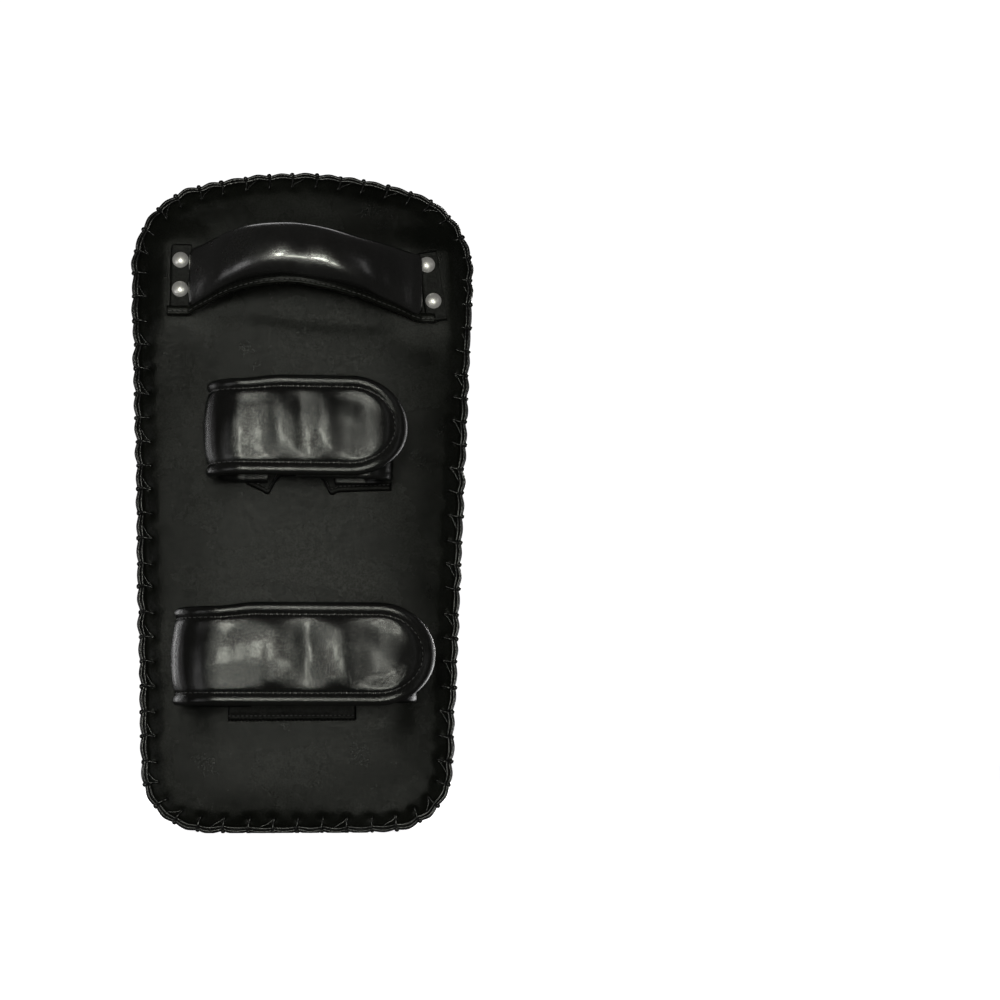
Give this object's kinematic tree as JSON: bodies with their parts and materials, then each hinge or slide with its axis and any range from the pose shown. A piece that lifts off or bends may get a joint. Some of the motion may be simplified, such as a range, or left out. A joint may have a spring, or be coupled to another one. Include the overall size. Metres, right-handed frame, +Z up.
{
  "type": "thai pad",
  "caption": "Thick black leather kick and punch shield with a tapered foam body, laced back panel, riveted grip handle and padded forearm straps closed by hook and loop.",
  "frame": {"origin": "middle of the underside: centre of the overall box in X and Y, at the height of the flat on the lower end", "axes": "+Z up the pad's length, strike face towards -Y, back with straps and handle towards +Y, X across the width"},
  "size_m": [0.2068, 0.1554, 0.4],
  "materials": {
    "case_leather": "black, satin, fine grain",
    "strap_leather": "black, semi-gloss, softly creased",
    "foam": "dense grey closed-cell foam, hidden inside",
    "board": "thin pressed board, hidden inside",
    "lace": "black waxed cord, glossy",
    "thread": "black bonded thread",
    "hook_and_loop": "black hook and loop tape",
    "webbing": "black woven webbing",
    "nickel": "bright nickel rivet heads"
  },
  "bodies": {
    "pad": {"back_panel": "case_leather", "backing_board": "board", "foam_back_layer": "foam", "foam_core": "foam", "foam_face_layer": "foam", "handle_tab_left": "strap_leather", "handle_tab_right": "strap_leather", "lace_loops": "lace", "lace_strands": "lace", "lower_base_strip": "strap_leather", "lower_flap_leg": "strap_leather", "lower_leg_stitches": "thread", "lower_tongue_leg": "strap_leather", "rivet_burrs": "nickel", "rivet_caps": "nickel", "rivet_posts": "nickel", "seam_thread": "thread", "side_gusset": "case_leather", "strike_panel": "case_leather", "upper_base_strip": "strap_leather", "upper_flap_leg": "strap_leather", "upper_leg_stitches": "thread", "upper_tongue_leg": "strap_leather"},
    "handle": {"handle_flange": "strap_leather", "handle_foam_roll": "foam", "handle_sleeve": "strap_leather", "handle_webbing": "webbing"},
    "upper_tongue": {"upper_hook_patch": "hook_and_loop", "upper_tongue_binding": "strap_leather", "upper_tongue_lining": "strap_leather", "upper_tongue_padding": "foam", "upper_tongue_skin": "strap_leather"},
    "upper_flap": {"upper_flap_padding": "foam", "upper_flap_skin": "strap_leather", "upper_loop_patch": "hook_and_loop"},
    "lower_tongue": {"lower_hook_patch": "hook_and_loop", "lower_tongue_binding": "strap_leather", "lower_tongue_lining": "strap_leather", "lower_tongue_padding": "foam", "lower_tongue_skin": "strap_leather"},
    "lower_flap": {"lower_flap_padding": "foam", "lower_flap_skin": "strap_leather", "lower_loop_patch": "hook_and_loop"}
  },
  "joints": [
    {"name": "upper_tongue_open", "type": "hinge", "parent": "pad", "child": "upper_tongue", "pos_m": [0.0554, 0.0463, 0.2364], "axis": [0, 0, -1], "range_deg": [0, 105]},
    {"name": "upper_flap_open", "type": "hinge", "parent": "pad", "child": "upper_flap", "pos_m": [-0.05815, 0.04215, 0.2364], "axis": [0, 0, 1], "range_deg": [0, 32]},
    {"name": "lower_tongue_open", "type": "hinge", "parent": "pad", "child": "lower_tongue", "pos_m": [0.0718, 0.0508, 0.1032], "axis": [0, 0, -1], "range_deg": [0, 105]},
    {"name": "lower_flap_open", "type": "hinge", "parent": "pad", "child": "lower_flap", "pos_m": [-0.07485, 0.04665, 0.1032], "axis": [0, 0, 1], "range_deg": [0, 32]},
    {"name": "handle_swing", "type": "hinge", "parent": "pad", "child": "handle", "pos_m": [0, 0.0253, 0.3342], "axis": [1, 0, 0], "range_deg": [-30, 20]}
  ],
  "couplings": [
    {"joint": "upper_flap_open", "follows": "upper_tongue_open", "ratio": 0.3},
    {"joint": "lower_flap_open", "follows": "lower_tongue_open", "ratio": 0.3}
  ]
}
